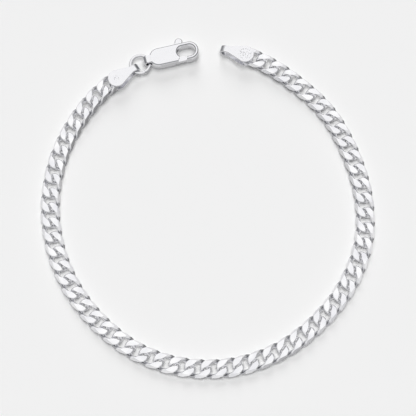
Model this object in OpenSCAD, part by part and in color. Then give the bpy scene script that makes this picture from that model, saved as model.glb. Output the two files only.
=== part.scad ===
// Curb link bracelet, lying open in a loop, with a lobster clasp at one end.
// Millimetres, +Z up, the table is z = 0.

/* [Chain] */
// Width of the open loop, across the outer edges of the chain
loop_w = 66.4; // [62:0.2:72]
// Width of the curb chain
chain_w = 4; // [3.9:0.1:4.3]
// Thickness of the chain between its two cut faces
chain_t = 1.32; // [1.26:0.02:1.4]
// Outer length of one link
link_len = 5.5; // [5.4:0.02:5.7]
// Diameter of the link wire at a link's ends and sides, where it is round
wire_d = 1; // [0.9:0.02:1.02]
// Height of the wire where it is pressed flattest, as a share of its diameter
wire_press = 0.52; // [0.46:0.02:0.56]
// Width of the wire there, as a share of its diameter
wire_spread = 1.15; // [1:0.05:1.25]
// Angle that the pressed wire leans outwards by
wire_lean = 12; // [6:1:16]
// Clearance between one link's pressed wire and the next link's below it
cross_gap = 0.48; // [0.44:0.02:0.56]
// Slack between two links that are pulled straight
link_slack = 0.44; // [0.38:0.02:0.5]

/* [End caps] */
// Length of an end cap, from its fold to its round end
cap_len = 7; // [6.4:0.1:7.6]
// Width of the round end
cap_w = 3.5; // [3.1:0.1:3.8]
// Width of the strip at the fold
cap_neck_w = 1.3; // [1.1:0.1:1.5]
// Length of the straight strip next to the fold
cap_neck_len = 0.6; // [0.3:0.1:0.9]
// Thickness of the sheet
leaf_t = 0.4; // [0.3:0.05:0.45]
// Clearance between a leaf and the last link, above it and below it
cap_gap = 0.12; // [0.1:0.01:0.16]
// Distance from the round end to the middle of the last link
cap_to_link = 0.25; // [0:0.05:0.4]
// Diameter of the rivet that holds the last link
rivet_d = 0.7; // [0.5:0.05:0.8]

/* [Jump ring] */
// Outer diameter of the jump ring
ring_d = 4.5; // [4.3:0.1:4.9]
// Diameter of its wire
ring_wire_d = 0.62; // [0.5:0.02:0.66]

/* [Clasp] */
// Length from the middle of the tail eye to the end of the hook
clasp_len = 10.5; // [10:0.1:11.5]
// Width of the clasp
clasp_w = 3.8; // [3.7:0.1:4.2]
// Thickness of the clasp
clasp_t = 2.3; // [2.2:0.1:2.6]
// Thickness of each of the two plates beside the lever
plate_t = 0.55; // [0.45:0.05:0.6]
// Distance from the middle of the tail eye to the plates' rounded end
plate_inset = 0.3; // [0.2:0.05:0.4]
// Diameter of the tail eye
tail_eye_d = 1.32; // [1.3:0.01:1.36]
// Wall round the end of the tail eye
tail_wall = 0.36; // [0.3:0.02:0.4]
// Width of the tail at the eye
tail_w = 1.5; // [1.3:0.1:1.6]
// Width of the hook's rim
rim_w = 0.66; // [0.55:0.01:0.75]
// Length of the opening inside the hook
mouth_len = 3.8; // [3.5:0.1:4]
// Length of the gate, from its pivot to the hook's tip
gate_len = 2.9; // [2.8:0.05:3]
// Width of the gate's arm at its end
gate_w = 0.62; // [0.5:0.02:0.66]
// How far the thumb nub stands out of the clasp's side
nub_h = 1.4; // [1.2:0.05:1.5]
// Diameter of the thumb nub
nub_d = 1.6; // [1.4:0.1:1.8]
// Diameter of the pivot pin
pin_d = 0.6; // [0.5:0.05:0.7]
// Diameter of the lever's hub
hub_d = 1.5; // [1.4:0.1:1.6]
// How far the gate opens
gate_open = 25; // [15:1:25]

/* [Fits] */
// Clearance between the lever and the clasp's body
lever_gap = 0.1; // [0.08:0.01:0.12]
// Running clearance of the lever's bore on its pin
pin_gap = 0.04; // [0.02:0.01:0.08]

/* [Hidden] */
$fn = 64;
silver = "#d4d5d8";
bright_silver = "#e9eaec";

// Route of the chain's middle, seen from above: near cap, round the wrist, far cap
ROUTE = [
    [-20.2, 26.2], [-26.2, 18.9], [-30.0, 10.4], [-31.3, 1.1], [-30.0, -8.1],
    [-26.3, -16.6], [-20.4, -23.9], [-12.8, -29.4], [-3.9, -32.1], [5.7, -31.8],
    [14.6, -28.4], [22.1, -22.4], [27.7, -14.8], [30.8, -6.1], [30.8, 3.2],
    [28.4, 12.1], [24.1, 20.4], [17.5, 27.0], [9.5, 32.1]
];
// Directions in which the two caps point, from the chain to the fold
near_cap_angle = 33;
far_cap_angle = 164;
// Direction from the jump ring's middle to the near cap and to the clasp
ring_to_cap = 225;
ring_to_clasp = 23;
clasp_angle = 13.6;

// Chain sizes that follow from the link
wire_r = wire_d / 2;
half_t = chain_t / 2;
link_a = (link_len - wire_d) / 2;
link_b = (chain_w - wire_d) / 2;
link_rise = (wire_press * wire_d + cross_gap) / 2;
pitch = link_len - 2 * wire_d - link_slack;
// Powers that turn the link's oval into the longer, blunter shape of a twisted link
side_power = 1.12;
end_power = 1.3;
// Stations round a link and corners round its wire
STATIONS = 16;
CORNERS = 6;
// Half angle of the smallest flat on the wire, so that no corner coincides with another
least_cut = 30;

// A smooth curve through the route's points
STEPS = 12;
function ghost(a, b, angle) = a + norm(b - a) * [cos(angle), sin(angle)];
last = len(ROUTE) - 1;
knots = concat(
    [ghost(ROUTE[0], ROUTE[1], near_cap_angle)], ROUTE,
    [ghost(ROUTE[last], ROUTE[last - 1], far_cap_angle)]
);
function bend(p, q, r, s, t) = 0.5 * (
    2 * q + (r - p) * t + (2 * p - 5 * q + 4 * r - s) * t * t
    + (3 * q - p - 3 * r + s) * t * t * t
);
drawn = concat(
    [for (i = [1 : last], k = [0 : STEPS - 1])
        bend(knots[i - 1], knots[i], knots[i + 1], knots[i + 2], k / STEPS)],
    [ROUTE[last]]
);
// The curve is drawn to the loop's width, and has more links in a wider loop
drawn_w = max([for (p = drawn) p.x]) - min([for (p = drawn) p.x]);
curve = drawn * (loop_w - chain_w) / drawn_w;
chain_start = curve[0];
chain_end = curve[len(curve) - 1];
run = [for (i = 0, s = 0; i < len(curve); s = s + norm(curve[min(i + 1, len(curve) - 1)] - curve[i]), i = i + 1) s];
chain_run = run[len(run) - 1];
along_x = [for (i = [0 : len(run) - 1]) [run[i], curve[i].x]];
along_y = [for (i = [0 : len(run) - 1]) [run[i], curve[i].y]];
function spot(s) = [lookup(s, along_x), lookup(s, along_y)];
function heading(s) = let (d = spot(s + pitch / 2) - spot(s - pitch / 2)) atan2(d.y, d.x);

// Links, spaced evenly along the route, as close to the pitch as whole links allow
link_gaps = round(chain_run / pitch);
spacing = chain_run / link_gaps;

// The chain lies on the table and rises at each end into the slot of its cap
cap_t = chain_t + 2 * cap_gap + 2 * leaf_t;
cap_lift = cap_t / 2 - half_t;
level_run = link_len / 2;
lift_run = 14;
function lift(s) = let (u = min(1, max(0, (min(s, chain_run - s) - level_run) / lift_run)))
    cap_lift * (1 + cos(180 * u)) / 2;
function link_pose(s) = let (
    reach = link_len / 2,
    low = lift(s - reach),
    high = lift(s + reach)
) [spot(s), heading(s), half_t + (low + high) / 2, atan2(high - low, 2 * reach)];

// How far the wire is twisted out of the link's middle plane at angle a round the oval, from -1 to 1
function twist(a) = -sign(sin(a) * cos(a)) * sqrt(sin(180 * pow(abs(cos(a)), 2 * end_power)));

// The middle of a link's wire at angle a
function link_mid(a) = [
    link_a * sign(cos(a)) * pow(abs(cos(a)), end_power),
    link_b * sign(sin(a)) * pow(abs(sin(a)), side_power),
    link_rise * twist(a)
];

// Half angle of the flat that a cut leaves on a wire of this height, whose middle is this far below it
function cut_angle(depth, height) = max(least_cut, acos(min(1, depth / height)));

// Corners of the wire at one station: an oval that leans outwards, flat where the chain's faces cut it
function link_ring(a) = let (
    mid = link_mid(a),
    along = link_mid(a + 1) - link_mid(a - 1),
    across = cross(along, [0, 0, 1]),
    level = across / norm(across),
    upright = cross(level, along) / norm(along),
    pressed = twist(a) * twist(a),
    lean = wire_lean * twist(a),
    side = (level * cos(lean) - upright * sin(lean)) * wire_r * (1 + (wire_spread - 1) * pressed),
    rise = (upright * cos(lean) + level * sin(lean)) * wire_r * (1 - (1 - wire_press) * pressed),
    crest = atan2(side.z, rise.z),
    height = norm([side.z, rise.z]),
    top = cut_angle(half_t - mid.z, height),
    bottom = 180 - cut_angle(half_t + mid.z, height),
    middle = (top + bottom) / 2
) [for (t = [top, middle, bottom, -bottom, -middle, -top])
    let (p = mid + side * sin(crest + t) + rise * cos(crest + t))
    [p.x, p.y, min(half_t, max(-half_t, p.z))]];
link_points = [for (k = [0 : STATIONS - 1]) each link_ring(360 * k / STATIONS)];
PER_LINK = STATIONS * CORNERS;

// A link's point, pitched and turned to its place on the route
function placed(p, pose) = let (
    tilt = pose[3], turn = pose[1],
    x = p.x * cos(tilt) - p.z * sin(tilt),
    z = p.x * sin(tilt) + p.z * cos(tilt)
) [
    pose[0].x + x * cos(turn) - p.y * sin(turn),
    pose[0].y + x * sin(turn) + p.y * cos(turn),
    pose[2] + z
];
function corner(link, k, j) = link * PER_LINK + (k % STATIONS) * CORNERS + j % CORNERS;

// The round end's middle, measured from the fold's middle, and the cap's reach from the route's end
cap_fold_r = cap_t / 2;
cap_pad_x = cap_len - cap_fold_r - cap_w / 2;
cap_reach = cap_len - cap_fold_r + cap_to_link;
rivet_x = cap_pad_x + cap_w / 2 + cap_to_link - 0.38 * link_a;
near_fold = chain_start + cap_reach * [cos(near_cap_angle), sin(near_cap_angle)];
far_fold = chain_end + cap_reach * [cos(far_cap_angle), sin(far_cap_angle)];

// The jump ring lies flat, and its wire passes through the cap's eye this far from the fold's end
ring_r = (ring_d - ring_wire_d) / 2;
ring_z = clasp_t / 2;
eye_inset = 1.31;
ring_hold = near_fold + (cap_fold_r - eye_inset) * [cos(near_cap_angle), sin(near_cap_angle)];
ring_at = ring_hold - ring_r * [cos(ring_to_cap), sin(ring_to_cap)];

// The clasp's frame: the tail eye's middle, with x along the clasp to its hook and y to its spine
// The eye's middle is half way between the wire's outermost and innermost points in the tail
ring_side = ring_r * sin(ring_to_clasp - clasp_angle);
tail_dy = tail_w / 2 + ring_side;
tail_dx = sqrt(ring_r * ring_r - tail_dy * tail_dy);
wire_inside = tail_dx - ring_wire_d / 2 * ring_r / tail_dx;
eye_x = (ring_r + ring_wire_d / 2 + wire_inside) / 2;
clasp_at = ring_at + eye_x * [cos(clasp_angle), sin(clasp_angle)]
    + ring_side * [-sin(clasp_angle), cos(clasp_angle)];
half_w = clasp_w / 2;
tail_end_r = half_w + 0.1;
hook_x = clasp_len - half_w;
mouth_r = half_w - rim_w;
mouth_x = hook_x - mouth_len + 2 * mouth_r;
mouth_left = mouth_x - mouth_r;
pivot = [mouth_left - 1.05, 1 - half_w];
gate_reach = gate_len - lever_gap;
cavity_x = pivot.x - hub_d / 2 - 0.85;
lever_z = plate_t + lever_gap;
lever_t = clasp_t - 2 * lever_z;
spine_wall = 0.45;
// The slot in the spine holds the lever's neck from closed to fully open
slot_right = pivot.x + 1.7;
slot_left = pivot.x + 0.7 * cos(gate_open) - (half_w - pivot.y + 0.05) * sin(gate_open) - lever_gap;
nub_x = pivot.x + 1.95;
nub_at = [nub_x, half_w + nub_h - nub_d / 2];

// Middle of the whole outline, which is the part's own zero
outline_x = (max([for (p = curve) p.x]) + min([for (p = curve) p.x])) / 2;
outline_bottom = min([for (p = curve) p.y]) - chain_w / 2;
outline_top = clasp_at.y + nub_at.x * sin(clasp_angle) + nub_at.y * cos(clasp_angle) + nub_d / 2;
ZERO = [outline_x, (outline_top + outline_bottom) / 2];

module centred() { translate([-ZERO.x, -ZERO.y, 0]) children(); }

module chain() {
    poses = [for (i = [0 : link_gaps]) link_pose(i * spacing)];
    color(bright_silver) centred() polyhedron(
        points = [for (pose = poses, p = link_points) placed(p, pose)],
        faces = [for (i = [0 : link_gaps], k = [0 : STATIONS - 1], j = [0 : CORNERS - 1])
            each [
                [corner(i, k, j), corner(i, k + 1, j), corner(i, k + 1, j + 1)],
                [corner(i, k, j), corner(i, k + 1, j + 1), corner(i, k, j + 1)]
            ]],
        convexity = 10
    );
}

// One leaf of a cap, seen from above: a straight neck that widens to a round pad
module leaf_outline() {
    neck = [cap_neck_len, cap_neck_w / 2];
    to_pad = [cap_pad_x, 0] - neck;
    slope = atan2(to_pad.y, to_pad.x) + asin(cap_w / 2 / norm(to_pad));
    touch = [cap_pad_x - cap_w / 2 * sin(slope), cap_w / 2 * cos(slope)];
    polygon([
        [0, neck.y], neck, touch, [cap_pad_x, 0], [touch.x, -touch.y], [neck.x, -neck.y], [0, -neck.y]
    ]);
    translate([cap_pad_x, 0]) circle(cap_w / 2);
}

// A strip folded in half: two leaves, the fold that makes the eye, and the rivet through the last link
module folded_cap() {
    linear_extrude(leaf_t) leaf_outline();
    translate([0, 0, cap_t - leaf_t]) linear_extrude(leaf_t) leaf_outline();
    translate([0, cap_neck_w / 2, cap_fold_r]) rotate([90, 0, 0]) linear_extrude(cap_neck_w)
        difference() {
            circle(cap_fold_r);
            circle(cap_fold_r - leaf_t);
            translate([0, -cap_t]) square([cap_t, 2 * cap_t]);
        }
    translate([rivet_x, 0, leaf_t / 2]) cylinder(d = rivet_d, h = cap_t - leaf_t);
}

module near_cap() {
    color(silver) centred() translate([near_fold.x, near_fold.y, 0]) rotate(near_cap_angle + 180) folded_cap();
}

module far_cap() {
    color(silver) centred() translate([far_fold.x, far_fold.y, 0]) rotate(far_cap_angle + 180) folded_cap();
}

module jump_ring() {
    color(silver) centred() translate([ring_at.x, ring_at.y, ring_z])
        rotate_extrude() translate([ring_r, 0]) circle(d = ring_wire_d);
}

module at_clasp() {
    centred() translate([clasp_at.x, clasp_at.y, 0]) rotate(clasp_angle) children();
}

// The clasp seen from above: plates, hook and mouth, with the gap that the gate closes
module clasp_outline() {
    difference() {
        union() {
            intersection() {
                translate([plate_inset + tail_end_r, 0]) circle(tail_end_r);
                translate([plate_inset, -half_w]) square([tail_end_r, clasp_w]);
            }
            translate([plate_inset + tail_end_r, -half_w]) square([hook_x - plate_inset - tail_end_r, clasp_w]);
            translate([hook_x, 0]) circle(half_w);
        }
        translate([mouth_x, 0]) circle(mouth_r);
        translate([hook_x, 0]) circle(mouth_r);
        translate([mouth_x, -mouth_r]) square([hook_x - mouth_x, 2 * mouth_r]);
        intersection() {
            translate(pivot) circle(gate_len);
            polygon([
                [mouth_left + 0.4, pivot.y], [mouth_left + 0.05, pivot.y - 0.5],
                [mouth_left - 0.25, -half_w - 1], [clasp_len, -half_w - 1], [clasp_len, pivot.y]
            ]);
        }
    }
}

module clasp_body() {
    color(silver) at_clasp() {
        difference() {
            union() {
                linear_extrude(clasp_t) clasp_outline();
                // Rounded tail that the jump ring passes through
                translate([0, tail_w / 2, 0]) rotate([90, 0, 0]) linear_extrude(tail_w)
                    intersection() {
                        translate([clasp_t / 2 + 0.2 - tail_eye_d / 2 - tail_wall, clasp_t / 2])
                            circle(clasp_t / 2 + 0.2);
                        translate([-clasp_t, 0]) square([clasp_t + plate_inset + tail_end_r / 2, clasp_t]);
                    }
            }
            translate([0, clasp_w, clasp_t / 2]) rotate([90, 0, 0]) cylinder(d = tail_eye_d, h = 2 * clasp_w);
            // Room for the lever between the plates, open at the gate, with a slot in the spine
            translate([cavity_x, -clasp_w, plate_t])
                cube([slot_right - cavity_x, clasp_w + half_w - spine_wall, clasp_t - 2 * plate_t]);
            translate([slot_left, 0, plate_t])
                cube([slot_right - slot_left, clasp_w, clasp_t - 2 * plate_t]);
        }
        translate([pivot.x, pivot.y, plate_t / 2]) cylinder(d = pin_d, h = clasp_t - plate_t);
    }
}

// The lever, seen from above, in three overlapping pieces: hub with the gate's arm, neck, thumb nub
module lever_arm() {
    x = pivot.x;
    bottom = 0.02 - half_w;
    translate(pivot) circle(d = hub_d);
    intersection() {
        translate(pivot) circle(gate_reach);
        polygon([
            [x - 0.3, pivot.y - 0.6], [x + 0.6, bottom], [clasp_len, bottom],
            [clasp_len, bottom + gate_w], [x + 1.5, bottom + gate_w + 0.3], [x + 0.3, pivot.y + 0.6]
        ]);
    }
}

module lever_neck() {
    x = pivot.x;
    polygon([
        [x - 0.6, pivot.y + 0.3], [x, 0.6], [x + 0.65, half_w - 0.6], [x + 0.75, half_w + 0.05],
        [x + 1.3, half_w + 0.6], [nub_x, half_w + 0.5], [x + 1.6, half_w - 0.05],
        [x + 1.5, half_w - 0.7], [x + 0.9, 0.4], [x + 0.6, pivot.y]
    ]);
}

module lever_nub() {
    intersection() {
        translate(nub_at) circle(d = nub_d);
        translate([nub_at.x - nub_d, half_w + lever_gap]) square([2 * nub_d, nub_d]);
    }
}

module clasp_lever() {
    color(bright_silver) at_clasp() translate([0, 0, lever_z]) difference() {
        union() {
            linear_extrude(lever_t) lever_arm();
            linear_extrude(lever_t) lever_neck();
            linear_extrude(lever_t) lever_nub();
        }
        translate([pivot.x, pivot.y, -lever_t]) cylinder(d = pin_d + 2 * pin_gap, h = 3 * lever_t);
    }
}

chain();
near_cap();
far_cap();
jump_ring();
clasp_body();
clasp_lever();
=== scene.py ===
import math
import bmesh
import bpy
from mathutils import Matrix, Vector


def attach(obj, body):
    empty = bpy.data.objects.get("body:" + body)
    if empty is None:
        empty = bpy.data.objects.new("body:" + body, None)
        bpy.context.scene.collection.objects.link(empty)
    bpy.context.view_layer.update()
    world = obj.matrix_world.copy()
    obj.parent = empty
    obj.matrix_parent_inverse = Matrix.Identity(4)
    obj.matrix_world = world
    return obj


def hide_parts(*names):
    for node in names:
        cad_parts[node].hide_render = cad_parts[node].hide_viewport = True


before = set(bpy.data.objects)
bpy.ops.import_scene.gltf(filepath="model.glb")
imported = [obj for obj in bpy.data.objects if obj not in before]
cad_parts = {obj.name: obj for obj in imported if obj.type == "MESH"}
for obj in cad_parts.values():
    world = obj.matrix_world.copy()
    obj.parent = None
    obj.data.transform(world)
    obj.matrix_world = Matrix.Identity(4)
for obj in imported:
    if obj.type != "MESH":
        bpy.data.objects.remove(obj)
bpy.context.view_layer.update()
mm = 0.001  # every piece is modelled in millimetres and brought to metres when it is placed
weld = 0.0005  # mm, under which two points are one
print("frame loaded:", ", ".join(sorted(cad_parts)))

bpy.context.scene.view_settings.view_transform = "Standard"


# Small helpers

def deselect():
    if bpy.context.object and bpy.context.object.mode != "OBJECT":
        bpy.ops.object.mode_set(mode="OBJECT")
    bpy.ops.object.select_all(action="DESELECT")


def active(obj):
    deselect()
    obj.select_set(True)
    bpy.context.view_layer.objects.active = obj
    return obj


def startEdit(obj):
    active(obj)
    bpy.ops.object.mode_set(mode="EDIT")


def pick(obj, kind, test):
    # kind is VERT, EDGE or FACE; test gets the element's middle and its normal, or None for an edge
    bpy.ops.mesh.select_mode(type=kind)
    bpy.ops.mesh.select_all(action="DESELECT")
    mesh = bmesh.from_edit_mesh(obj.data)
    if kind == "VERT":
        items = [(v, v.co, v.normal) for v in mesh.verts]
    elif kind == "EDGE":
        items = [(e, (e.verts[0].co + e.verts[1].co) / 2, None) for e in mesh.edges]
    else:
        items = [(f, f.calc_center_median(), f.normal) for f in mesh.faces]
    found = 0
    for item, middle, normal in items:
        if test(middle, normal):
            item.select_set(True)
            found += 1
    mesh.select_flush_mode()
    bmesh.update_edit_mesh(obj.data)
    return found


def applied(obj, kind, **settings):
    active(obj)
    modifier = obj.modifiers.new(kind.title(), kind)
    for key, value in settings.items():
        setattr(modifier, key, value)
    bpy.ops.object.modifier_apply(modifier=modifier.name)
    return obj


def combine(obj, other, how):
    # how is UNION, DIFFERENCE or INTERSECT, and the other object is used up
    applied(obj, "BOOLEAN", object=other, operation=how, solver="EXACT")
    bpy.data.objects.remove(other)
    return obj


def tidyFaces(obj, doubles=0.004, flat=0.6):
    startEdit(obj)
    bpy.ops.mesh.select_all(action="SELECT")
    bpy.ops.mesh.remove_doubles(threshold=doubles)
    bpy.ops.mesh.dissolve_limited(angle_limit=math.radians(flat))
    bpy.ops.mesh.select_all(action="SELECT")
    bpy.ops.mesh.normals_make_consistent(inside=False)
    bpy.ops.object.mode_set(mode="OBJECT")
    return obj


def rounded(obj, width, segments=3, angle=38, clamp=True):
    return applied(obj, "BEVEL", width=width, segments=segments, limit_method="ANGLE",
                   angle_limit=math.radians(angle), use_clamp_overlap=clamp)


def place(obj, at=(0, 0, 0), turn=0):
    # turns and moves a piece made in millimetres to its place in metres, and applies it to the mesh
    active(obj)
    obj.matrix_world = (Matrix.Scale(mm, 4) @ Matrix.Translation(Vector(at))
                        @ Matrix.Rotation(math.radians(turn), 4, "Z") @ obj.matrix_world)
    bpy.ops.object.transform_apply(location=True, rotation=True, scale=True)
    return obj


def finishPiece(obj, name, body, node, finishes, smoothAngle=32):
    obj.name = name
    obj.data.name = name
    active(obj)
    bpy.ops.object.shade_smooth_by_angle(angle=math.radians(smoothAngle), keep_sharp_edges=True)
    if name != "curbChain":  # keeps the plates flat beside their rounded edges
        applied(obj, "WEIGHTED_NORMAL", keep_sharp=True, weight=100)
    while len(obj.data.materials) < len(finishes):
        obj.data.materials.append(None)
    for i, finish in enumerate(finishes):
        obj.data.materials[i] = finish
    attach(obj, body)
    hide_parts(node)
    deselect()
    print("made", name, "-", len(obj.data.polygons), "faces")
    return obj


def linear(hexColour):
    parts = [int(hexColour[k:k + 2], 16) / 255 for k in (1, 3, 5)]
    return (*[c / 12.92 if c <= 0.04045 else ((c + 0.055) / 1.055) ** 2.4 for c in parts], 1)


def addNode(tree, kind, settings=None, links=None):
    node = tree.nodes.new("ShaderNode" + kind)
    for key, value in (settings or {}).items():
        if key == "stops":  # a ramp's (place, colour) pairs
            while len(node.color_ramp.elements) < len(value):
                node.color_ramp.elements.new(1)
            for element, (where, colour) in zip(node.color_ramp.elements, value):
                element.position = where
                element.color = colour
        elif isinstance(key, int) or key in node.inputs:
            node.inputs[key].default_value = value
        else:
            setattr(node, key, value)
    for key, source in (links or {}).items():
        tree.links.new(source, node.inputs[key])
    return node


def newMaterial(name):
    material = bpy.data.materials.new(name)
    material.use_nodes = True
    material.node_tree.nodes.clear()
    return material, material.node_tree


def asMetal(material, tone, rough, bump):
    tree = material.node_tree
    shader = addNode(tree, "BsdfPrincipled", {"Metallic": 1.0},
                     {"Base Color": tone.outputs[2], "Roughness": rough, "Normal": bump.outputs["Normal"]})
    addNode(tree, "OutputMaterial", {}, {"Surface": shader.outputs["BSDF"]})
    return material


def greyStops(levels):
    return [(where, (level, level, level, 1)) for where, level in levels]


# Where things lie: the chain's route seen from above, and the frames of the caps, ring and clasp

route = [
    (-20.2, 26.2), (-26.2, 18.9), (-30.0, 10.4), (-31.3, 1.1), (-30.0, -8.1), (-26.3, -16.6),
    (-20.4, -23.9), (-12.8, -29.4), (-3.9, -32.1), (5.7, -31.8), (14.6, -28.4), (22.1, -22.4),
    (27.7, -14.8), (30.8, -6.1), (30.8, 3.2), (28.4, 12.1), (24.1, 20.4), (17.5, 27.0), (9.5, 32.1),
]

chain = {
    "loop": 66.4,
    "width": 4,
    "thick": 1.32,
    "linkLength": 5.5,
    "wire": 1,
    "press": 0.55,    # height and width of the wire where it is pressed flattest, as shares of its diameter
    "spread": 1.25,
    "lean": 10.5,     # degrees
    "crossGap": 0.53,
    "endThin": 0.84,  # the wire's width at the link's ends, where it is pulled thin
    "endShort": 8,    # how short that thin end is, as a power
    "slack": 0.44,
    "sidePower": 1.1,
    "endPower": 1.25,
    "steep": 0.3,     # how much sooner the wire dives than a plain wave would
    "liftRun": 14,
}

cap = {
    "length": 7,
    "width": 3.5,
    "neckWidth": 1.3,
    "neckLength": 0.6,
    "leaf": 0.4,
    "gap": 0.12,
    "toLink": 0.25,
    "rivet": 0.7,
    "rivetBack": 0.38,  # from the last link's middle towards the eye, as a share of half its length
    "rivetEdge": 0.05,
    "nearAngle": 33,
    "farAngle": 164,
    "edge": 0.09,
    "leafSteps": 22,
    "foldSteps": 24,
    "nearMark": {"radius": 0.8, "grain": 0.26},
    "farMark": {"radius": 1.45, "grain": 0.27},
}

ring = {
    "across": 4.5,
    "wire": 0.62,
    "toCap": 225,
    "toClasp": 23,
    "eyeInset": 1.31,
    "seam": 0.05,  # hairline left where the wire's two ends meet
    "seamAngle": 300,
    "corners": 24,
    "steps": 96,
}

clasp = {
    "length": 10.5,
    "width": 3.8,
    "thick": 2.3,
    "plate": 0.55,
    "plateInset": 0.3,
    "endRound": 0.1,     # how much larger than half the width the round of the plates' tail end is
    "eye": 1.32,
    "eyeWall": 0.36,
    "tailWidth": 1.5,
    "rim": 0.66,
    "mouth": 3.8,
    "gate": 2.9,
    "gateWidth": 0.62,
    # bends of the edge that the shut gate lies beside, along from the mouth's end and across from the pivot
    "seat": [(0.4, 0), (0.05, -0.5), (-0.25, -2)],
    "nubHeight": 1.4,
    "nub": 1.6,
    "nubAlong": 1.95,    # from the pivot along the clasp to the nub's middle
    "pin": 0.6,
    "pivotBack": 1.05,   # from the mouth back to the pivot, and from the lower side up to it
    "pivotUp": 1,
    "hub": 1.5,
    "open": 25,
    "gap": 0.1,
    "pinGap": 0.04,
    "angle": 13.6,
    "tailBulge": 0.2,    # how much larger than the plates' thickness the tail's round is
    "tailSunk": 0.9,
    "flush": 0.02,       # keeps two faces from lying in one plane
    "roomBack": 0.85,    # the room for the lever: behind its hub, ahead of its pivot, and the spine beyond it
    "roomAhead": 1.7,
    "spine": 0.45,
    "sideWall": 0.15,    # thin wall that closes the room beside the lever's hub, and where it ends
    "wallEnd": 0.1,
    "slotReach": 0.7,    # where the lever's neck lies when it is open
    "slotSpare": 0.05,
    "edge": 0.28,        # how round the plates' polished edges are, and the edges of the smaller pieces
    "tailEdge": 0.16,
    "pinEdge": 0.04,
    "nubEdge": 0.22,
    "leverEdge": 0.12,
}


def aim(angle):
    return Vector((math.cos(math.radians(angle)), math.sin(math.radians(angle))))


def routeCurve(steps=12):
    points = [Vector(p) for p in route]
    first = points[0] + (points[1] - points[0]).length * aim(cap["nearAngle"])
    final = points[-1] + (points[-2] - points[-1]).length * aim(cap["farAngle"])
    knots = [first, *points, final]
    curve = []
    for i in range(1, len(knots) - 2):
        p, q, r, s = knots[i - 1:i + 3]
        for k in range(steps):
            t = k / steps
            curve.append(0.5 * (2 * q + (r - p) * t + (2 * p - 5 * q + 4 * r - s) * t * t
                                + (3 * q - p - 3 * r + s) * t * t * t))
    return curve + [points[-1]]


curve = routeCurve()
drawnWide = max(p.x for p in curve) - min(p.x for p in curve)
curve = [p * (chain["loop"] - chain["width"]) / drawnWide for p in curve]
along = [0.0]
for a, b in zip(curve, curve[1:]):
    along.append(along[-1] + (b - a).length)
chainRun = along[-1]


def spot(s):
    if s <= 0:
        return curve[0]
    for i in range(1, len(along)):
        if s <= along[i]:
            return curve[i - 1].lerp(curve[i], (s - along[i - 1]) / (along[i] - along[i - 1]))
    return curve[-1]


wire = chain["wire"] / 2
halfThick = chain["thick"] / 2
linkA = (chain["linkLength"] - chain["wire"]) / 2
linkB = (chain["width"] - chain["wire"]) / 2
linkRise = (chain["press"] * chain["wire"] + chain["crossGap"]) / 2
pitch = chain["linkLength"] - 2 * chain["wire"] - chain["slack"]
linkGaps = round(chainRun / pitch)
spacing = chainRun / linkGaps

capThick = chain["thick"] + 2 * cap["gap"] + 2 * cap["leaf"]
capLift = capThick / 2 - halfThick
capReach = cap["length"] - capThick / 2 + cap["toLink"]
padX = cap["length"] - capThick / 2 - cap["width"] / 2
nearFold = curve[0] + capReach * aim(cap["nearAngle"])
farFold = curve[-1] + capReach * aim(cap["farAngle"])

ringR = (ring["across"] - ring["wire"]) / 2
ringAt = nearFold + (capThick / 2 - ring["eyeInset"]) * aim(cap["nearAngle"]) - ringR * aim(ring["toCap"])

ringSide = ringR * math.sin(math.radians(ring["toClasp"] - clasp["angle"]))
tailDx = math.sqrt(ringR ** 2 - (clasp["tailWidth"] / 2 + ringSide) ** 2)
eyeX = (ringR + ring["wire"] / 2 + tailDx - ring["wire"] / 2 * ringR / tailDx) / 2
claspAt = ringAt + eyeX * aim(clasp["angle"]) + ringSide * aim(clasp["angle"] + 90)

halfWide = clasp["width"] / 2
hookX = clasp["length"] - halfWide
mouthR = halfWide - clasp["rim"]
mouthX = hookX - clasp["mouth"] + 2 * mouthR
mouthLeft = mouthX - mouthR
pivot = Vector((mouthLeft - clasp["pivotBack"], clasp["pivotUp"] - halfWide))
nubAt = Vector((pivot.x + clasp["nubAlong"], halfWide + clasp["nubHeight"] - clasp["nub"] / 2))

# The part's own zero is the middle of its outline
topEdge = claspAt.y + nubAt.dot(Vector((aim(clasp["angle"]).y, aim(clasp["angle"]).x))) + clasp["nub"] / 2
zero = Vector((
    (max(p.x for p in curve) + min(p.x for p in curve)) / 2,
    (topEdge + min(p.y for p in curve) - chain["width"] / 2) / 2,
))


def fromZero(point, z=0):
    return (point.x - zero.x, point.y - zero.y, z)


print("chain runs %.2f mm over %d links, zero at %.4f, %.4f" % (chainRun, linkGaps + 1, *zero))


# Camera: the photograph looks down at 18 degrees from the vertical

camera = {
    "tilt": 18,
    "distance": 300,
    "pixelsPerMm": 5.05,
    "target": (0, 0, 0.9),
    "pixels": 416,
    "sensor": 36,
}

bpy.ops.object.camera_add()
cameraObject = bpy.context.object
target = Vector(fromZero(Vector(camera["target"][:2]), camera["target"][2])) * mm
tilt = math.radians(camera["tilt"])
back = Vector((0, -math.sin(tilt), math.cos(tilt)))
cameraObject.location = target + back * camera["distance"] * mm
cameraObject.rotation_euler = (tilt, 0, 0)
cameraObject.data.sensor_width = camera["sensor"]
cameraObject.data.lens = camera["pixelsPerMm"] * camera["distance"] / camera["pixels"] * camera["sensor"]
cameraObject.data.clip_start = 0.01
cameraObject.data.clip_end = 20
bpy.context.scene.camera = cameraObject
print("camera set")


# Materials

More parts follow.
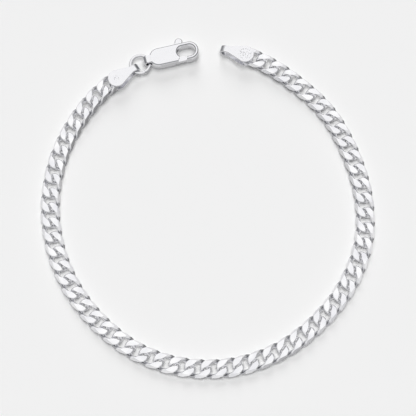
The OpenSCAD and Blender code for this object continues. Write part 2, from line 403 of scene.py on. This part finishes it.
finishes = {
    "silver": "#F2F2F4",
    "silverCool": "#EEEEF1",
    "wire": "#F6F6F8",
    "wireCool": "#EFEFF2",
    "cut": "#FDFDFE",
    "cutCool": "#ECECF0",
    "punched": "#B9BABD",
    # painted shade: a greyer silver laid where the skin turns from level, standing in for dark mirrored
    # outlines, and how much of it shows from upright skin (0) to level skin (1)
    "rim": "#98999D",
    "paintedEdgeShade": [(0, 0.15), (0.3, 0.1), (0.62, 1), (0.86, 1), (0.97, 0)],
    "paintedRingShade": [(0.3, 0.9), (0.72, 0)],
    "paintedLinkShade": [(0.12, 0.8), (0.42, 0)],
    # in mm: how far from a link's middle line the painted shade in its hollows begins, and how low beside its
    # raised faces it lies
    "hollow": {"from": 1.05, "to": 1.35, "low": 0.1, "raised": 0.34, "grey": 0.68},
    # in mm, and the hairlines are coarser than real ones so that they show
    "polish": 1.2,
    "hairWidth": 0.06,
    "hairLength": 3,
    "hairDepth": 0.004,
    "swellDepth": 0.012,
    "punchDepth": 0.02,
    "cutLines": 0.11,
    "cutDepth": 0.003,
    "cutToCut": 2.5,  # over which the cut faces change from bright to a little duller
}


def polishedSilver(name, light, cool, grey, mark=None, hollow=None):
    # sterling silver, tumbled and buffed: a mirror softened by faint hairlines and a slow waviness
    material, tree = newMaterial(name)
    coords = addNode(tree, "TexCoord")
    own, skin = coords.outputs["Object"], coords.outputs["Normal"]
    broad = addNode(tree, "TexNoise", {"Scale": 1 / mm / finishes["polish"], "Detail": 2.0}, {"Vector": own})
    tone = addNode(tree, "Mix", {"data_type": "RGBA", 6: linear(light), 7: linear(cool)},
                   {0: broad.outputs["Fac"]})

    # painted shade: the skin is greyed as it turns from level, which draws dark outlines along the edges
    level = addNode(tree, "VectorMath", {"operation": "DOT_PRODUCT", 1: (0, 0, 1)}, {0: skin})
    level = addNode(tree, "Math", {"operation": "ABSOLUTE"}, {0: level.outputs["Value"]})
    paintedShade = addNode(tree, "ValToRGB", {"stops": greyStops(grey)}, {"Fac": level.outputs[0]}).outputs["Color"]
    if hollow:
        # painted shade beside the raised faces, where a link's outer side dips under the next one
        link = addNode(tree, "Attribute", {"attribute_name": "linkSpace"})
        link = addNode(tree, "SeparateXYZ", {}, {0: link.outputs["Vector"]})
        across = addNode(tree, "Math", {"operation": "ABSOLUTE"}, {0: link.outputs["Y"]})
        across = addNode(tree, "MapRange", {"From Min": hollow["from"], "From Max": hollow["to"],
                                            "To Max": hollow["grey"]}, {"Value": across.outputs[0]})
        faces = addNode(tree, "SeparateXYZ", {}, {0: skin})
        raised = addNode(tree, "Math", {"operation": "MULTIPLY"},
                         {0: faces.outputs["Z"], 1: link.outputs["Z"]})
        sunk = addNode(tree, "MapRange", {"From Min": hollow["raised"], "From Max": hollow["low"]},
                       {"Value": raised.outputs[0]})
        sunk = addNode(tree, "Math", {"operation": "MULTIPLY"},
                       {0: sunk.outputs["Result"], 1: across.outputs["Result"]})
        paintedShade = addNode(tree, "Math", {"operation": "MAXIMUM"}, {0: paintedShade, 1: sunk.outputs[0]}).outputs[0]
    tone = addNode(tree, "Mix", {"data_type": "RGBA", 7: linear(finishes["rim"])},
                   {0: paintedShade, 6: tone.outputs[2]})

    if mark:
        # fine punched grain, plain and without any sign, in a round patch that fades at its edge
        radius = mark["radius"] * mm
        apart = addNode(tree, "VectorMath", {"operation": "DISTANCE", 1: mark["at"]}, {0: own})
        patch = addNode(tree, "MapRange", {"From Min": radius, "From Max": radius * 0.75},
                        {"Value": apart.outputs["Value"]})
        grain = addNode(tree, "TexVoronoi", {"Scale": 1 / mm / mark["grain"]}, {"Vector": own})
        grain = addNode(tree, "MapRange", {"From Min": 0.42, "From Max": 0.2},
                        {"Value": grain.outputs["Distance"]})
        punch = addNode(tree, "Math", {"operation": "MULTIPLY"},
                        {0: patch.outputs["Result"], 1: grain.outputs["Result"]})
        tone = addNode(tree, "Mix", {"data_type": "RGBA", 7: linear(finishes["punched"])},
                       {0: punch.outputs[0], 6: tone.outputs[2]})

    # hairlines run three ways: noise stretched along each, of which only the peaks are kept
    thin = 1 / mm / finishes["hairWidth"]
    stretch = (1 / mm / finishes["hairLength"], thin, thin)
    hairs = None
    for way in (0.4, 1.5, 2.6):
        drawn = addNode(tree, "Mapping", {"Rotation": (0.3, 0.2, way), "Scale": stretch}, {"Vector": own})
        noise = addNode(tree, "TexNoise", {"Scale": 1.0, "Detail": 1.0}, {"Vector": drawn.outputs["Vector"]})
        peaks = addNode(tree, "MapRange", {"From Min": 0.62, "From Max": 0.78},
                        {"Value": noise.outputs["Fac"]}).outputs["Result"]
        if hairs:
            peaks = addNode(tree, "Math", {"operation": "MAXIMUM"}, {0: hairs, 1: peaks}).outputs[0]
        hairs = peaks
    rough = addNode(tree, "MapRange", {"To Min": 0.07, "To Max": 0.14}, {"Value": broad.outputs["Fac"]})
    rough = addNode(tree, "Math", {"operation": "MULTIPLY_ADD", 1: 0.1},
                    {0: hairs, 2: rough.outputs["Result"]})
    bump = addNode(tree, "Bump", {"Strength": 0.25, "Distance": finishes["hairDepth"] * mm},
                   {"Height": hairs})
    bump = addNode(tree, "Bump", {"Strength": 0.5, "Distance": finishes["swellDepth"] * mm},
                   {"Height": broad.outputs["Fac"], "Normal": bump.outputs["Normal"]})
    if mark:
        bump = addNode(tree, "Bump", {"Strength": 0.6, "Distance": finishes["punchDepth"] * mm,
                                      "invert": True},
                       {"Height": punch.outputs[0], "Normal": bump.outputs["Normal"]})
    return asMetal(material, tone, rough.outputs[0], bump)


def brightCutSilver():
    # silver planed by a diamond cutter: a harder mirror than the wire, with the cutter's fine lines across it
    material, tree = newMaterial("brightCutSilver")
    link = addNode(tree, "Attribute", {"attribute_name": "linkSpace"})
    lines = addNode(tree, "TexWave", {"Scale": 1 / finishes["cutLines"] / 2, "Distortion": 0.8,
                                      "Detail": 2.0}, {"Vector": link.outputs["Vector"]})
    coords = addNode(tree, "TexCoord")
    broad = addNode(tree, "TexNoise", {"Scale": 1 / finishes["cutToCut"] / mm, "Detail": 1.0},
                    {"Vector": coords.outputs["Object"]})
    broad = addNode(tree, "MapRange", {"From Min": 0.3, "From Max": 0.7}, {"Value": broad.outputs["Fac"]})
    tone = addNode(tree, "Mix", {"data_type": "RGBA", 6: linear(finishes["cut"]),
                                 7: linear(finishes["cutCool"])}, {0: broad.outputs["Result"]})
    rough = addNode(tree, "MapRange", {"To Min": 0.05, "To Max": 0.1}, {"Value": lines.outputs["Fac"]})
    bump = addNode(tree, "Bump", {"Strength": 0.12, "Distance": finishes["cutDepth"] * mm},
                   {"Height": lines.outputs["Fac"]})
    return asMetal(material, tone, rough.outputs["Result"], bump)


def silver(name, tone, grey, **more):
    return polishedSilver(name, finishes[tone], finishes[tone + "Cool"], finishes[grey], **more)


silverFinish = silver("polishedSterlingSilver", "silver", "paintedEdgeShade")
wireFinish = silver("drawnSterlingSilver", "wire", "paintedRingShade")
linkFinish = silver("linkSterlingSilver", "wire", "paintedLinkShade", hollow=finishes["hollow"])
cutFinish = brightCutSilver()
print("materials ready")


# The chain: one link is made, cut flat above and below, and copied along the route

linkMesh = {
    "stations": 72,  # stations round the link and corners round its wire
    "corners": 20,
    "sideCut": 1.45,  # half the width of the chain's flat top, before its sides slope down
    "sideSlope": 56,  # degrees from the flat top to each sloped cut
    "step": 0.01,  # radians, over which the wire's direction is taken
}


def twist(angle):
    # how far the wire is twisted out of the link's middle plane, from -1 to 1
    c, s = math.cos(angle), math.sin(angle)
    wave = math.sqrt(max(0, math.sin(math.pi * abs(c) ** (2 * chain["endPower"]))))
    return -math.copysign(wave * (1 + chain["steep"] * (1 - wave)), s * c)


def linkMiddle(angle):
    c, s = math.cos(angle), math.sin(angle)
    return Vector((linkA * math.copysign(abs(c) ** chain["endPower"], c),
                   linkB * math.copysign(abs(s) ** chain["sidePower"], s), linkRise * twist(angle)))


def linkPoint(angle, around):
    # a point of the wire's skin: its section is an oval, pressed flatter and leaning outwards where it rises
    run = linkMiddle(angle + linkMesh["step"]) - linkMiddle(angle - linkMesh["step"])
    level = run.cross(Vector((0, 0, 1))).normalized()
    upright = level.cross(run).normalized()
    pressed, lean = twist(angle) ** 2, math.radians(chain["lean"]) * twist(angle)
    wide = 1 + (chain["spread"] - 1) * pressed - (1 - chain["endThin"]) * math.cos(angle) ** chain["endShort"]
    side = (level * math.cos(lean) - upright * math.sin(lean)) * wire * wide
    rise = (upright * math.cos(lean) + level * math.sin(lean)) * wire * (1 - (1 - chain["press"]) * pressed)
    return linkMiddle(angle) + side * math.sin(around) + rise * math.cos(around)


def makeLink():
    deselect()
    bpy.ops.mesh.primitive_torus_add(major_segments=linkMesh["stations"], minor_segments=linkMesh["corners"],
                                     major_radius=linkA, minor_radius=wire)
    link = bpy.context.object
    for v in link.data.vertices:
        out = math.hypot(v.co.x, v.co.y) - linkA
        v.co = linkPoint(math.atan2(v.co.y, v.co.x) + 1e-5, math.atan2(out, v.co.z))  # never quite on an axis
    startEdit(link)
    slope = math.radians(linkMesh["sideSlope"])
    cuts = [Vector((0, out * math.sin(slope), up * math.cos(slope))) for out in (1, -1) for up in (1, -1)]
    cuts += [Vector((0, 0, 1)), Vector((0, 0, -1))]

    def cutOut(cut):
        # how far out a cut lies: all of them pass through the edges of the chain's flat top and underside
        return abs(linkMesh["sideCut"] * cut.y) + abs(halfThick * cut.z)

    for cut in cuts:
        bpy.ops.mesh.select_all(action="SELECT")
        bpy.ops.mesh.bisect(plane_co=cut * cutOut(cut), plane_no=cut, use_fill=True, clear_outer=True,
                            threshold=weld)
    bpy.ops.mesh.select_all(action="SELECT")
    bpy.ops.mesh.remove_doubles(threshold=0.008)
    bpy.ops.mesh.normals_make_consistent(inside=False)

    def isCut(middle, normal):
        return any(normal.dot(cut) > 0.9995 and abs(middle.dot(cut) - cutOut(cut)) < 0.003 for cut in cuts)

    count = pick(link, "FACE", isCut)
    bpy.ops.mesh.region_to_loop()
    bpy.ops.mesh.mark_sharp()
    bpy.ops.object.mode_set(mode="OBJECT")
    own = link.data.attributes.new("linkSpace", "FLOAT_VECTOR", "POINT")
    for i, v in enumerate(link.data.vertices):
        own.data[i].vector = v.co
    link.data.materials.append(linkFinish)
    link.data.materials.append(cutFinish)
    for face in link.data.polygons:
        face.material_index = 1 if isCut(face.center, face.normal) else 0
    print("link has", count, "cut faces,", len(link.data.polygons), "faces")
    return link


def lift(s):
    u = min(1, max(0, (min(s, chainRun - s) - chain["linkLength"] / 2) / chain["liftRun"]))
    return capLift * (1 + math.cos(math.pi * u)) / 2


def linkPlace(s):
    reach = chain["linkLength"] / 2
    ahead = spot(s + pitch / 2) - spot(s - pitch / 2)
    low, high = lift(s - reach), lift(s + reach)
    turn = math.atan2(ahead.y, ahead.x)
    rise = math.atan2(high - low, 2 * reach)
    return (Matrix.Translation(fromZero(spot(s), halfThick + (low + high) / 2))
            @ Matrix.Rotation(turn, 4, "Z") @ Matrix.Rotation(-rise, 4, "Y"))


link = makeLink()
copies = []
for i in range(linkGaps + 1):
    copy = link.copy()
    copy.data = link.data.copy()
    bpy.context.collection.objects.link(copy)
    copy.matrix_world = linkPlace(i * spacing)
    copies.append(copy)
bpy.data.objects.remove(link)
active(copies[0])
for copy in copies:
    copy.select_set(True)
bpy.ops.object.join()
links = place(bpy.context.object)
finishPiece(links, "curbChain", "bracelet", "chain", [linkFinish, cutFinish], 40)


# End caps: a strip of sheet, narrow in the middle, folded into an eye with a round leaf on each side

def capStations():
    # (x, z, half the width) from the lower leaf's round end, round the fold and back over the upper leaf
    half, neck, r = cap["width"] / 2, cap["neckWidth"] / 2, capThick / 2
    slope = (math.atan2(-neck, padX - cap["neckLength"])
             + math.asin(half / math.hypot(padX - cap["neckLength"], neck)))
    touch = math.pi / 2 + slope
    turns = [touch * k / cap["leafSteps"] for k in range(1, cap["leafSteps"] + 1)]
    leaf = [(padX + half * math.cos(t), half * math.sin(t)) for t in turns]
    leaf += [(cap["neckLength"], neck), (0, neck)]
    lower = [(x, 0, w) for x, w in leaf]
    turns = [math.pi * k / cap["foldSteps"] for k in range(1, cap["foldSteps"])]
    fold = [(-r * math.sin(t), r - r * math.cos(t), neck) for t in turns]
    upper = [(x, capThick, w) for x, w in reversed(leaf)]
    return lower + fold + upper


def makeCap(name, at, angle, node, mark):
    deselect()
    middle = Vector(fromZero(at + padX * aim(angle + 180), capThick)) * mm
    finish = silver(name + "Silver", "silver", "paintedEdgeShade", mark={"at": middle, **mark})
    stations = capStations()
    (x0, _, w0), (x1, _, w1) = stations[:2]
    bpy.ops.mesh.primitive_plane_add(size=2)
    strip = bpy.context.object
    for v in strip.data.vertices:  # the first step of the strip
        v.co = Vector((x0 if v.co.x > 0 else x1, math.copysign(w0 if v.co.x > 0 else w1, v.co.y), 0))
    startEdit(strip)
    pick(strip, "EDGE", lambda m, n: abs(m.x - x1) < 1e-4)
    for (xa, za, wa), (xb, zb, wb) in zip(stations[1:], stations[2:]):
        bpy.ops.mesh.extrude_region_move(TRANSFORM_OT_translate={"value": (xb - xa, 0, zb - za)})
        if abs(wb - wa) > 1e-6:
            bpy.ops.transform.resize(value=(1, wb / wa, 1), center_override=(xb, 0, zb))
    bpy.ops.mesh.select_all(action="SELECT")
    bpy.ops.mesh.normals_make_consistent(inside=False)
    bpy.ops.object.mode_set(mode="OBJECT")
    lowest = min(strip.data.polygons, key=lambda f: f.center.z - f.center.x * 0.01)
    if lowest.normal.z > 0:
        strip.data.flip_normals()
    applied(strip, "SOLIDIFY", thickness=cap["leaf"], offset=-1, use_even_offset=True)
    rounded(strip, cap["edge"], 3, 50)
    tidyFaces(strip, 0.002)

    # The rivet through the last link, sunk into both leaves
    rivetX = padX + cap["width"] / 2 + cap["toLink"] - cap["rivetBack"] * linkA
    bpy.ops.mesh.primitive_cylinder_add(vertices=32, radius=cap["rivet"] / 2, depth=capThick - cap["leaf"],
                                        location=(rivetX, 0, capThick / 2))
    rivet = bpy.context.object
    rounded(rivet, cap["rivetEdge"], 2, 50)
    active(strip)
    rivet.select_set(True)
    bpy.ops.object.join()
    place(strip, fromZero(at), angle + 180)
    return finishPiece(strip, name, "bracelet", node, [finish], 40)


makeCap("nearEndCap", nearFold, cap["nearAngle"], "near_cap", cap["nearMark"])
makeCap("farEndCap", farFold, cap["farAngle"], "far_cap", cap["farMark"])


# Jump ring: round wire spun almost full circle, with its two ends meeting at a hairline

def makeRing():
    deselect()
    bpy.ops.mesh.primitive_circle_add(vertices=ring["corners"], radius=ring["wire"] / 2, fill_type="NGON",
                                      location=(ringR, 0, 0), rotation=(math.pi / 2, 0, 0))
    loop = bpy.context.object
    bpy.ops.object.transform_apply(location=True, rotation=True, scale=True)
    startEdit(loop)
    bpy.ops.mesh.select_all(action="SELECT")
    whole = 2 * math.pi - ring["seam"] / ringR
    bpy.ops.mesh.spin(steps=ring["steps"], dupli=False, angle=whole, center=(0, 0, 0), axis=(0, 0, 1))
    bpy.ops.mesh.select_all(action="SELECT")
    bpy.ops.mesh.remove_doubles(threshold=weld)
    bpy.ops.mesh.normals_make_consistent(inside=False)
    bpy.ops.object.mode_set(mode="OBJECT")
    return place(loop, fromZero(ringAt, clasp["thick"] / 2), ring["seamAngle"])


finishPiece(makeRing(), "jumpRing", "bracelet", "jump_ring", [wireFinish], 40)


# Clasp: a flat body with the hook and its mouth, hollow between its plates, and a tail with a cross eye

def stadium(radius, height, middle, rightX, leftX, leftRadius=None, corners=96):
    # an upright cylinder whose left half is pulled out to leftX
    bpy.ops.mesh.primitive_cylinder_add(vertices=corners, radius=radius, depth=height,
                                        location=(rightX, 0, middle))
    solid = bpy.context.object
    bpy.ops.object.transform_apply(location=True, rotation=True, scale=True)
    startEdit(solid)
    pick(solid, "VERT", lambda m, n: m.x < rightX - 1e-4)
    if leftRadius:
        bpy.ops.transform.resize(value=(leftRadius / radius, 1, 1), center_override=(rightX, 0, middle))
    bpy.ops.transform.translate(value=(leftX - rightX, 0, 0))
    bpy.ops.object.mode_set(mode="OBJECT")
    return solid


def cutBy(solid, through, normal):
    # keeps what lies behind a plane
    startEdit(solid)
    bpy.ops.mesh.select_all(action="SELECT")
    bpy.ops.mesh.bisect(plane_co=through, plane_no=normal, use_fill=True, clear_outer=True, threshold=weld)
    bpy.ops.object.mode_set(mode="OBJECT")
    return solid


def block(x0, x1, y0, y1, z0, z1):
    bpy.ops.mesh.primitive_cube_add(size=1, location=((x0 + x1) / 2, (y0 + y1) / 2, (z0 + z1) / 2),
                                    scale=(x1 - x0, y1 - y0, z1 - z0))
    solid = bpy.context.object
    bpy.ops.object.transform_apply(location=True, rotation=True, scale=True)
    return solid


def rod(radius, length, at, alongY=False, corners=48):
    bpy.ops.mesh.primitive_cylinder_add(vertices=corners, radius=radius, depth=length, location=at,
                                        rotation=(math.pi / 2, 0, 0) if alongY else (0, 0, 0))
    solid = bpy.context.object
    bpy.ops.object.transform_apply(location=True, rotation=True, scale=True)
    return solid


def makeClaspBody():
    deselect()
    thick, plate = clasp["thick"], clasp["plate"]
    endR = halfWide + clasp["endRound"]
    body = stadium(halfWide, thick, thick / 2, hookX, clasp["plateInset"] + endR, endR, 128)
    combine(body, stadium(mouthR, 3 * thick, thick / 2, hookX, mouthX), "DIFFERENCE")
    tidyFaces(body)
    rounded(body, clasp["edge"], segments=5, angle=40, clamp=False)
    gap = rod(clasp["gate"], 3 * thick, (pivot.x, pivot.y, thick / 2), corners=128)
    cutBy(gap, (0, pivot.y, 0), (0, 1, 0))
    for a, b in zip(clasp["seat"], clasp["seat"][1:]):
        cutBy(gap, (mouthLeft + a[0], pivot.y + a[1], 0), (b[1] - a[1], a[0] - b[0], 0))
    combine(body, gap, "DIFFERENCE")

    # The tail is a rounded lug, sunk into the plates' end
    lugR = thick / 2 + clasp["tailBulge"]
    lugX = lugR - clasp["eye"] / 2 - clasp["eyeWall"]
    lug = rod(lugR, clasp["tailWidth"], (lugX, 0, thick / 2), True, 72)
    cutBy(lug, (0, 0, thick - clasp["flush"]), (0, 0, 1))
    cutBy(lug, (0, 0, clasp["flush"]), (0, 0, -1))
    cutBy(lug, (clasp["plateInset"] + clasp["tailSunk"], 0, 0), (1, 0, 0))
    rounded(lug, clasp["tailEdge"], 3, 50)
    combine(body, lug, "UNION")
    combine(body, rod(clasp["eye"] / 2, 3 * clasp["width"], (0, 0, thick / 2), True, 64), "DIFFERENCE")

    # The room for the lever, open at the gate, and the slot in the spine
    left = pivot.x - clasp["hub"] / 2 - clasp["roomBack"]
    shut = pivot.x + clasp["wallEnd"]
    right = pivot.x + clasp["roomAhead"]
    spine = halfWide - clasp["spine"]
    opened = math.radians(clasp["open"])
    slotLeft = (pivot.x + clasp["slotReach"] * math.cos(opened)
                - (halfWide - pivot.y + clasp["slotSpare"]) * math.sin(opened) - clasp["gap"])
    combine(body, block(left, shut, clasp["sideWall"] - halfWide, spine, plate, thick - plate), "DIFFERENCE")
    combine(body, block(shut, right, -clasp["width"], spine, plate, thick - plate), "DIFFERENCE")
    combine(body, block(slotLeft, right, 0, clasp["width"], plate, thick - plate), "DIFFERENCE")
    pin = rod(clasp["pin"] / 2, thick - plate, (pivot.x, pivot.y, thick / 2), corners=32)
    rounded(pin, clasp["pinEdge"], 2, 50)
    active(body)
    pin.select_set(True)
    bpy.ops.object.join()
    return place(body, fromZero(claspAt), clasp["angle"])


def makeLever():
    deselect()
    z0 = clasp["plate"] + clasp["gap"]
    thick = clasp["thick"] - 2 * z0
    middle = z0 + thick / 2
    x, bottom = pivot.x, clasp["flush"] - halfWide

    def blade(corners):
        # a flat plate drawn corner by corner, then pulled up to its thickness
        bpy.ops.mesh.primitive_circle_add(vertices=len(corners), radius=1, fill_type="NGON")
        flat = bpy.context.object
        for v, c in zip(flat.data.vertices, corners):
            v.co = (c[0], c[1], z0)
        startEdit(flat)
        bpy.ops.mesh.select_all(action="SELECT")
        bpy.ops.mesh.extrude_region_move(TRANSFORM_OT_translate={"value": (0, 0, thick)})
        bpy.ops.mesh.select_all(action="SELECT")
        bpy.ops.mesh.normals_make_consistent(inside=False)
        bpy.ops.object.mode_set(mode="OBJECT")
        return flat

    # each corner is how far along the clasp and how far across it, from the pivot or from a side
    arm = blade([(x - 0.3, pivot.y - 0.6), (x + 0.6, bottom), (clasp["length"], bottom),
                 (clasp["length"], bottom + clasp["gateWidth"]), (x + 1.5, bottom + clasp["gateWidth"] + 0.3),
                 (x + 0.3, pivot.y + 0.6)])
    reach = rod(clasp["gate"] - clasp["gap"], 3 * thick, (pivot.x, pivot.y, middle), corners=128)
    combine(arm, reach, "INTERSECT")
    neck = blade([(x - 0.6, pivot.y + 0.3), (x, 0.6), (x + 0.65, halfWide - 0.6), (x + 0.75, halfWide + 0.05),
                  (x + 1.3, halfWide + 0.6), (x + 1.95, halfWide + 0.5), (x + 1.6, halfWide - 0.05),
                  (x + 1.5, halfWide - 0.7), (x + 0.9, 0.4), (x + 0.6, pivot.y)])
    nub = rod(clasp["nub"] / 2, thick, (nubAt.x, nubAt.y, middle), corners=48)
    rounded(nub, clasp["nubEdge"], 4, 50)
    cutBy(nub, (0, halfWide + clasp["gap"], 0), (0, -1, 0))
    combine(arm, rod(clasp["hub"] / 2, thick, (pivot.x, pivot.y, middle), corners=48), "UNION")
    combine(arm, neck, "UNION")
    combine(arm, nub, "UNION")
    tidyFaces(arm, 0.01)
    rounded(arm, clasp["leverEdge"], 3, 40)
    bore = rod(clasp["pin"] / 2 + clasp["pinGap"], 3 * thick, (pivot.x, pivot.y, middle), corners=32)
    combine(arm, bore, "DIFFERENCE")
    return place(arm, fromZero(claspAt), clasp["angle"])


finishPiece(makeClaspBody(), "claspBody", "bracelet", "clasp_body", [silverFinish], 30)
finishPiece(makeLever(), "claspLever", "lever", "clasp_lever", [silverFinish], 30)


# Floor and light

studio = {
    "floor": "#F6F6F6",
    "floorSize": 1200,
    "fibres": 900,  # to the metre
    "fibreDepth": 0.02,
    # the pale room that the silver mirrors: only its right-hand wall is dark, and its table is greyer
    "room": {"towards": (-1, 0, 0),
             "levels": [(0.0, 0.34), (0.22, 0.4), (0.4, 0.86), (0.8, 0.9), (1.0, 0.76)]},
    "horizon": [(0.0, 0.8), (0.5, 0.8), (0.56, 1.0)],
    # what stands in it: the table, the dark beneath the piece, a white card in front, the ceiling,
    # and the softbox that the flat faces mirror
    "lights": [
        {"towards": (0, 0, -1), "level": 0.80, "edge": (0.15, 0.32)},
        {"towards": (0, 0, -1), "level": 0.50, "edge": (0.86, 0.94)},
        {"towards": (0, -0.98, 0.2), "level": 0.86, "edge": (0.78, 0.92)},
        {"towards": (0, 0, 1), "level": 0.80, "edge": (0.4, 0.7)},
        {"towards": (0, 0.31, 0.95), "level": 1.02, "edge": (0.86, 0.93)},
    ],
    # suns light the floor only: one broad and high, one low from behind that draws the shadow to the front
    "suns": [
        {"elevation": 82, "azimuth": 90, "angle": 50, "strength": 2.34},
        {"elevation": 28, "azimuth": 95, "angle": 30, "strength": 1.43},
    ],
}


def makeFloor():
    deselect()
    bpy.ops.mesh.primitive_plane_add(size=studio["floorSize"] * mm)
    floor = bpy.context.object
    floor.name = "floor"
    # matt card: almost no gloss and a very faint fibre
    material, tree = newMaterial("mattCard")
    coords = addNode(tree, "TexCoord")
    fibre = addNode(tree, "TexNoise", {"Scale": studio["fibres"], "Detail": 4.0},
                    {"Vector": coords.outputs["Object"]})
    bump = addNode(tree, "Bump", {"Strength": 0.05, "Distance": studio["fibreDepth"] * mm},
                   {"Height": fibre.outputs["Fac"]})
    shader = addNode(tree, "BsdfPrincipled", {"Base Color": linear(studio["floor"]), "Roughness": 0.9,
                                              "Specular IOR Level": 0.1}, {"Normal": bump.outputs["Normal"]})
    addNode(tree, "OutputMaterial", {}, {"Surface": shader.outputs["BSDF"]})
    floor.data.materials.append(material)
    floor.visible_glossy = False  # below it too the silver mirrors the room, which draws its outline


def makeLight():
    world = bpy.data.worlds.new("studio")
    bpy.context.scene.world = world
    world.use_nodes = True
    tree = world.node_tree
    tree.nodes.clear()
    direction = addNode(tree, "TexCoord").outputs["Generated"]

    def facing(towards):
        # from -1 straight away from a direction to 1 straight towards it
        dot = addNode(tree, "VectorMath", {"operation": "DOT_PRODUCT", 1: towards}, {0: direction})
        return dot.outputs["Value"]

    def wall(towards, levels):
        where = addNode(tree, "MapRange", {"From Min": -1.0, "From Max": 1.0}, {"Value": facing(towards)})
        ramp = addNode(tree, "ValToRGB", {"stops": greyStops(levels)}, {"Fac": where.outputs["Result"]})
        return ramp.outputs["Color"]

    room = addNode(tree, "Mix", {"data_type": "RGBA", "blend_type": "MULTIPLY", 0: 1.0},
                   {6: wall(studio["room"]["towards"], studio["room"]["levels"]),
                    7: wall((0, 0, 1), studio["horizon"])})
    for part in studio["lights"]:
        low, high = part["edge"]
        near = addNode(tree, "MapRange", {"interpolation_type": "SMOOTHSTEP", "From Min": low,
                                          "From Max": high}, {"Value": facing(part["towards"])})
        room = addNode(tree, "Mix", {"data_type": "RGBA", 7: (*[part["level"]] * 3, 1)},
                       {0: near.outputs["Result"], 6: room.outputs[2]})
    background = addNode(tree, "Background", {"Strength": 1.0}, {"Color": room.outputs[2]})
    addNode(tree, "OutputWorld", {}, {"Surface": background.outputs["Background"]})
    world.cycles_visibility.diffuse = False
    for key in studio["suns"]:
        bpy.ops.object.light_add(type="SUN")
        sun = bpy.context.object
        e, a = math.radians(key["elevation"]), math.radians(key["azimuth"])
        towards = Vector((math.cos(e) * math.cos(a), math.cos(e) * math.sin(a), math.sin(e)))
        sun.rotation_euler = towards.to_track_quat("Z", "Y").to_euler()
        sun.data.energy = key["strength"]
        sun.data.angle = math.radians(key["angle"])
        sun.visible_glossy = False


makeFloor()
makeLight()
deselect()
print("studio ready")
